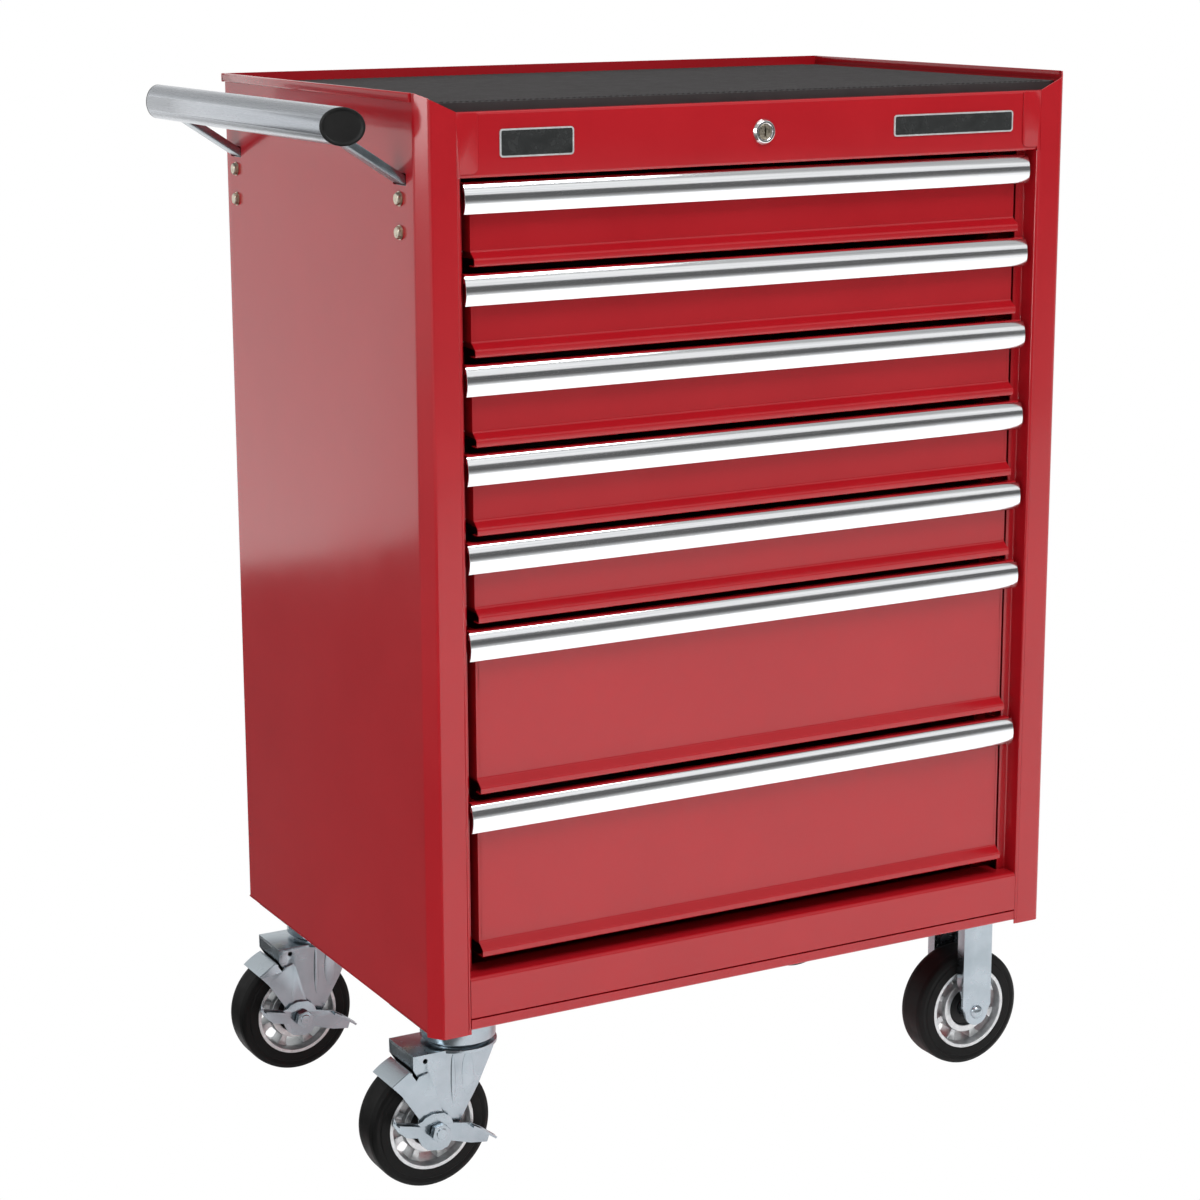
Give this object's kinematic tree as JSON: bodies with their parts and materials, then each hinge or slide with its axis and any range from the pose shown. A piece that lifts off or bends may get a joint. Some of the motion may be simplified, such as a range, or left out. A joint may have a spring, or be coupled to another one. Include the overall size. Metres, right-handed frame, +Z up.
{
  "type": "rolling tool cabinet",
  "caption": "Red steel roller cabinet with sliding drawers behind full-width aluminium trims, a ribbed top tray, a lock, a push handle at one end and braked swivel and rigid castors.",
  "frame": {"origin": "centre of the bounding box at floor level, under the tyres", "axes": "+X to the right seen from the drawers' side, +Y from the drawer fronts to the back, +Z up"},
  "size_m": [0.762, 0.4578, 0.9966],
  "materials": {
    "red_paint": "glossy red powder coat",
    "rubber_mat": "matt black rubber with fine ribs",
    "zinc_plate": "plain zinc-plated steel",
    "slide_steel": "bright zinc-plated slide steel",
    "trim_aluminium": "polished anodised aluminium",
    "chrome": "bright chrome",
    "plate_black": "black enamel plate with a plain silver edge",
    "tube_chrome": "satin chrome",
    "cap_plastic": "black moulded plastic",
    "fastener_zinc": "zinc-plated fasteners",
    "castor_zinc": "blue-white zinc-plated pressed steel",
    "rim_aluminium": "cast aluminium",
    "tyre_rubber": "black elastic rubber"
  },
  "bodies": {
    "cabinet": {"left_side_panel": "red_paint", "right_side_panel": "red_paint", "back_panel": "red_paint", "front_header": "red_paint", "top_deck": "red_paint", "top_mat": "rubber_mat", "lower_front_rail": "red_paint", "base_panel": "red_paint", "base_channels": "zinc_plate", "slide_uprights": "zinc_plate", "cabinet_slide_rails": "slide_steel", "lock_housing": "chrome", "name_plates": "plate_black", "push_handle_tube": "tube_chrome", "push_handle_end_caps": "cap_plastic", "push_handle_brackets": "tube_chrome", "push_handle_bolts": "fastener_zinc", "castor_mounting_bolts": "fastener_zinc", "rigid_castor_forks": "castor_zinc", "rigid_castor_axles": "castor_zinc", "swivel_castor_plates": "castor_zinc"},
    "drawer_1": {"drawer_1": "red_paint", "drawer_1_trim": "trim_aluminium", "drawer_1_slides": "slide_steel"},
    "drawer_2": {"drawer_2": "red_paint", "drawer_2_trim": "trim_aluminium", "drawer_2_slides": "slide_steel"},
    "drawer_3": {"drawer_3": "red_paint", "drawer_3_trim": "trim_aluminium", "drawer_3_slides": "slide_steel"},
    "drawer_4": {"drawer_4": "red_paint", "drawer_4_trim": "trim_aluminium", "drawer_4_slides": "slide_steel"},
    "drawer_5": {"drawer_5": "red_paint", "drawer_5_trim": "trim_aluminium", "drawer_5_slides": "slide_steel"},
    "drawer_6": {"drawer_6": "red_paint", "drawer_6_trim": "trim_aluminium", "drawer_6_slides": "slide_steel"},
    "drawer_7": {"drawer_7": "red_paint", "drawer_7_trim": "trim_aluminium", "drawer_7_slides": "slide_steel"},
    "lock_plug": {"lock_cylinder": "chrome"},
    "swivel_front": {"swivel_fork_front": "castor_zinc", "swivel_axle_front": "castor_zinc"},
    "pedal_front": {"brake_pedal_front": "castor_zinc"},
    "shoe_front": {"brake_shoe_front": "castor_zinc"},
    "wheel_front_left": {"wheel_rim_front_left": "rim_aluminium", "tyre_front_left": "tyre_rubber"},
    "wheel_front_right": {"wheel_rim_front_right": "rim_aluminium", "tyre_front_right": "tyre_rubber"},
    "swivel_rear": {"swivel_fork_rear": "castor_zinc", "swivel_axle_rear": "castor_zinc"},
    "pedal_rear": {"brake_pedal_rear": "castor_zinc"},
    "shoe_rear": {"brake_shoe_rear": "castor_zinc"},
    "wheel_rear_left": {"wheel_rim_rear_left": "rim_aluminium", "tyre_rear_left": "tyre_rubber"},
    "wheel_rear_right": {"wheel_rim_rear_right": "rim_aluminium", "tyre_rear_right": "tyre_rubber"}
  },
  "joints": [
    {"name": "drawer_1_slide", "type": "slide", "parent": "cabinet", "child": "drawer_1", "axis": [0, -1, 0], "range_m": [0, 0.3]},
    {"name": "drawer_2_slide", "type": "slide", "parent": "cabinet", "child": "drawer_2", "axis": [0, -1, 0], "range_m": [0, 0.3]},
    {"name": "drawer_3_slide", "type": "slide", "parent": "cabinet", "child": "drawer_3", "axis": [0, -1, 0], "range_m": [0, 0.3]},
    {"name": "drawer_4_slide", "type": "slide", "parent": "cabinet", "child": "drawer_4", "axis": [0, -1, 0], "range_m": [0, 0.3]},
    {"name": "drawer_5_slide", "type": "slide", "parent": "cabinet", "child": "drawer_5", "axis": [0, -1, 0], "range_m": [0, 0.3]},
    {"name": "drawer_6_slide", "type": "slide", "parent": "cabinet", "child": "drawer_6", "axis": [0, -1, 0], "range_m": [0, 0.3]},
    {"name": "drawer_7_slide", "type": "slide", "parent": "cabinet", "child": "drawer_7", "axis": [0, -1, 0], "range_m": [0, 0.3]},
    {"name": "lock_turn", "type": "hinge", "parent": "cabinet", "child": "lock_plug", "pos_m": [0.0395, -0.2258, 0.953], "axis": [0, -1, 0], "range_deg": [0, 90]},
    {"name": "castor_front_swivel", "type": "hinge", "parent": "cabinet", "child": "swivel_front", "pos_m": [-0.243, -0.161, 0.142], "axis": [0, 0, 1], "continuous": true},
    {"name": "wheel_front_left_spin", "type": "hinge", "parent": "swivel_front", "child": "wheel_front_left", "pos_m": [-0.279, -0.161, 0.06], "axis": [0, 1, 0], "continuous": true},
    {"name": "wheel_front_right_spin", "type": "hinge", "parent": "cabinet", "child": "wheel_front_right", "pos_m": [0.323, -0.161, 0.06], "axis": [0, 1, 0], "continuous": true},
    {"name": "brake_front_pedal", "type": "hinge", "parent": "swivel_front", "child": "pedal_front", "pos_m": [-0.279, -0.161, 0.06], "axis": [0, -1, 0], "range_deg": [0, 25]},
    {"name": "brake_front_shoe", "type": "slide", "parent": "swivel_front", "child": "shoe_front", "axis": [0.5262, 0, -0.8504], "range_m": [0, 0.0015]},
    {"name": "castor_rear_swivel", "type": "hinge", "parent": "cabinet", "child": "swivel_rear", "pos_m": [-0.243, 0.155, 0.142], "axis": [0, 0, 1], "continuous": true},
    {"name": "wheel_rear_left_spin", "type": "hinge", "parent": "swivel_rear", "child": "wheel_rear_left", "pos_m": [-0.279, 0.155, 0.06], "axis": [0, 1, 0], "continuous": true},
    {"name": "wheel_rear_right_spin", "type": "hinge", "parent": "cabinet", "child": "wheel_rear_right", "pos_m": [0.323, 0.155, 0.06], "axis": [0, 1, 0], "continuous": true},
    {"name": "brake_rear_pedal", "type": "hinge", "parent": "swivel_rear", "child": "pedal_rear", "pos_m": [-0.279, 0.155, 0.06], "axis": [0, -1, 0], "range_deg": [0, 25]},
    {"name": "brake_rear_shoe", "type": "slide", "parent": "swivel_rear", "child": "shoe_rear", "axis": [0.5262, 0, -0.8504], "range_m": [0, 0.0015]}
  ],
  "couplings": [
    {"joint": "brake_front_shoe", "follows": "brake_front_pedal", "m_per_rad": 0.0034378},
    {"joint": "brake_rear_shoe", "follows": "brake_rear_pedal", "m_per_rad": 0.0034378}
  ]
}
